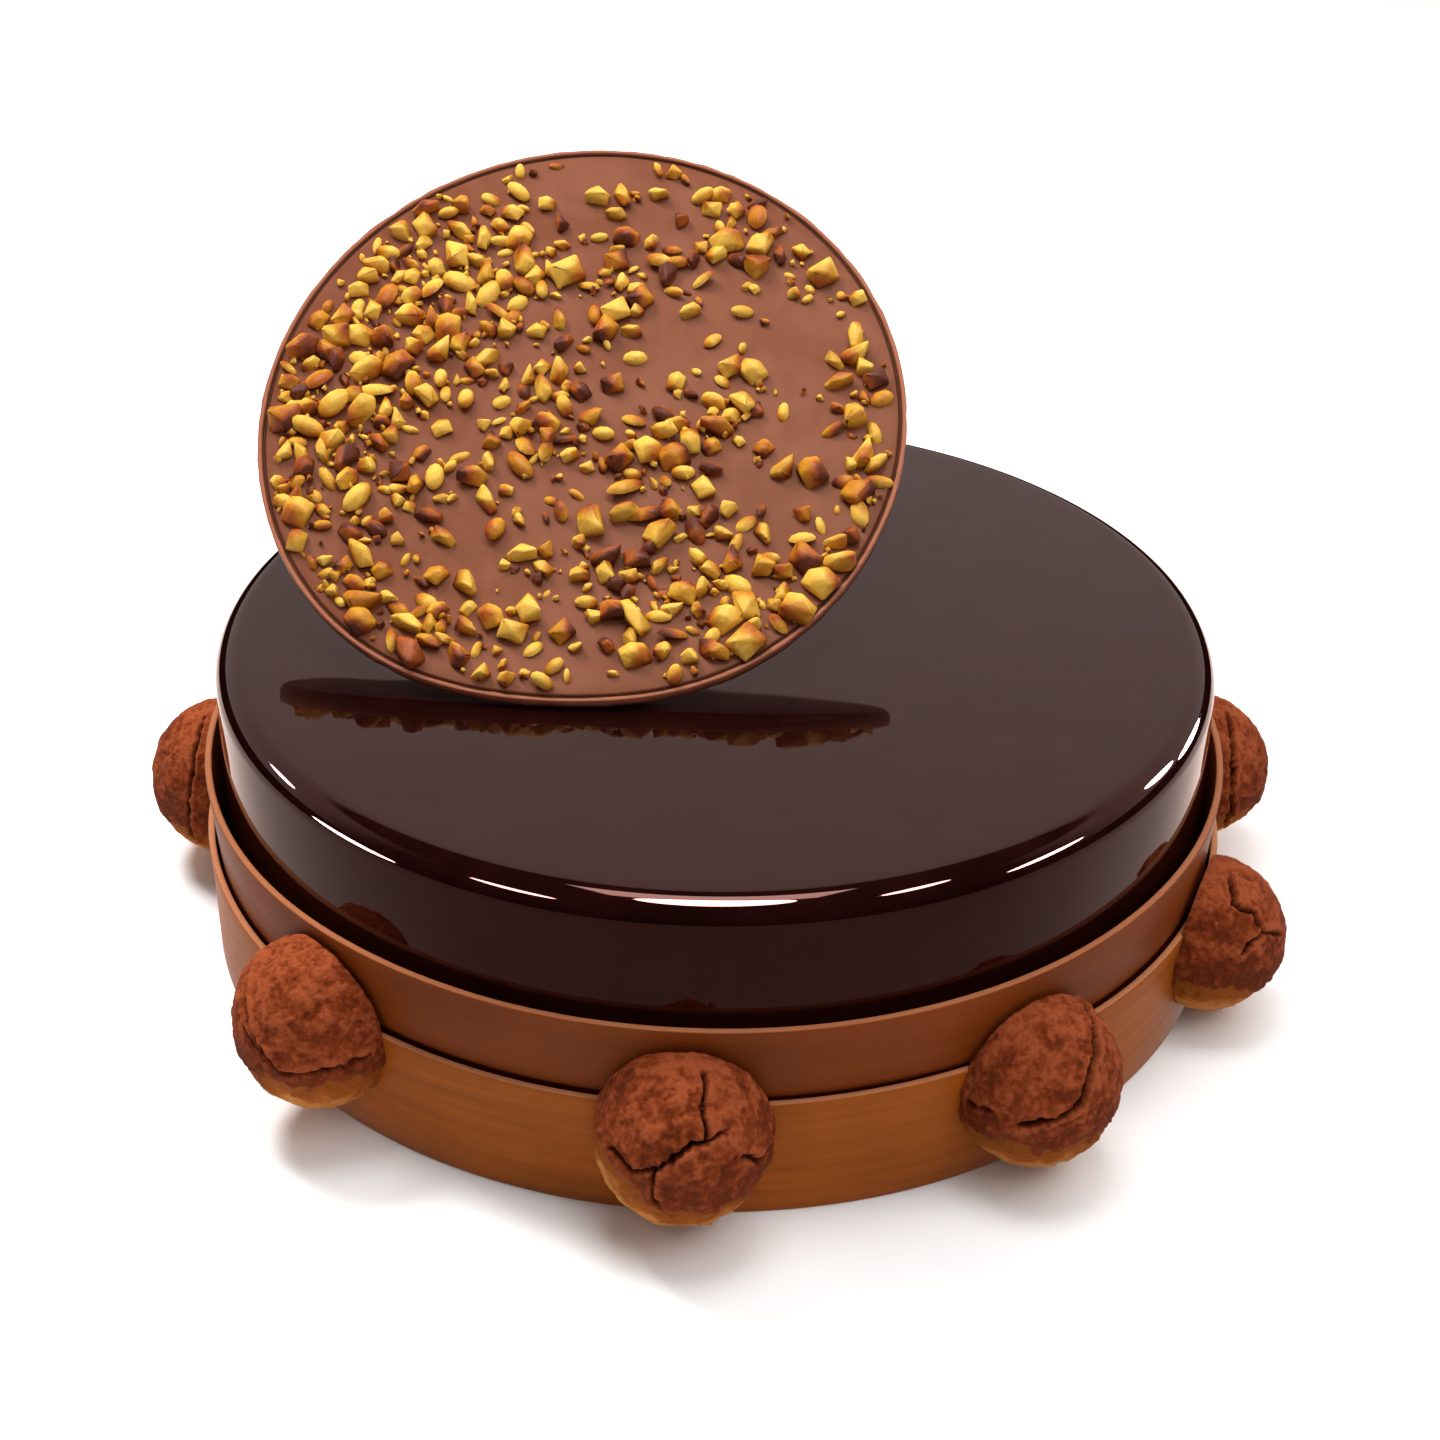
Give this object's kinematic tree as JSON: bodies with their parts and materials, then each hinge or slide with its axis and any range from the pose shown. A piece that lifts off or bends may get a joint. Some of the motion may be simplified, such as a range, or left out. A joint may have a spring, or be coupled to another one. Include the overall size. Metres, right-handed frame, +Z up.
{
  "type": "chocolate torte",
  "caption": "Round whole chocolate torte with a mirror glaze, chocolate strips round its side, cocoa-dusted domes and a leaning chocolate disc set with chopped nuts.",
  "frame": {"origin": "centre of the cake's flat underside", "axes": "+Z up through the cake's axis, -Y to the front, where the leaning disc faces"},
  "size_m": [0.2773, 0.2789, 0.1518],
  "materials": {
    "dark_glaze": "mirror-like dark chocolate glaze",
    "dark_strip_chocolate": "satin dark milk chocolate",
    "brown_strip_chocolate": "satin brown chocolate with fine streaks",
    "cocoa_crust": "matte cracked crust dusted with cocoa",
    "nut_disc": "satin milk chocolate with golden roasted nut pieces"
  },
  "bodies": {
    "root": {"glazed_cake": "dark_glaze", "tall_strip": "dark_strip_chocolate", "low_strip": "brown_strip_chocolate", "nut_disc": "nut_disc", "hidden_rest": "cocoa_crust", "dome_front": "cocoa_crust", "dome_front_right": "cocoa_crust", "dome_right": "cocoa_crust", "dome_back_right": "cocoa_crust", "dome_back_1": "cocoa_crust", "dome_back_2": "cocoa_crust", "dome_back_3": "cocoa_crust", "dome_left": "cocoa_crust", "dome_front_left": "cocoa_crust"}
  },
  "joints": []
}
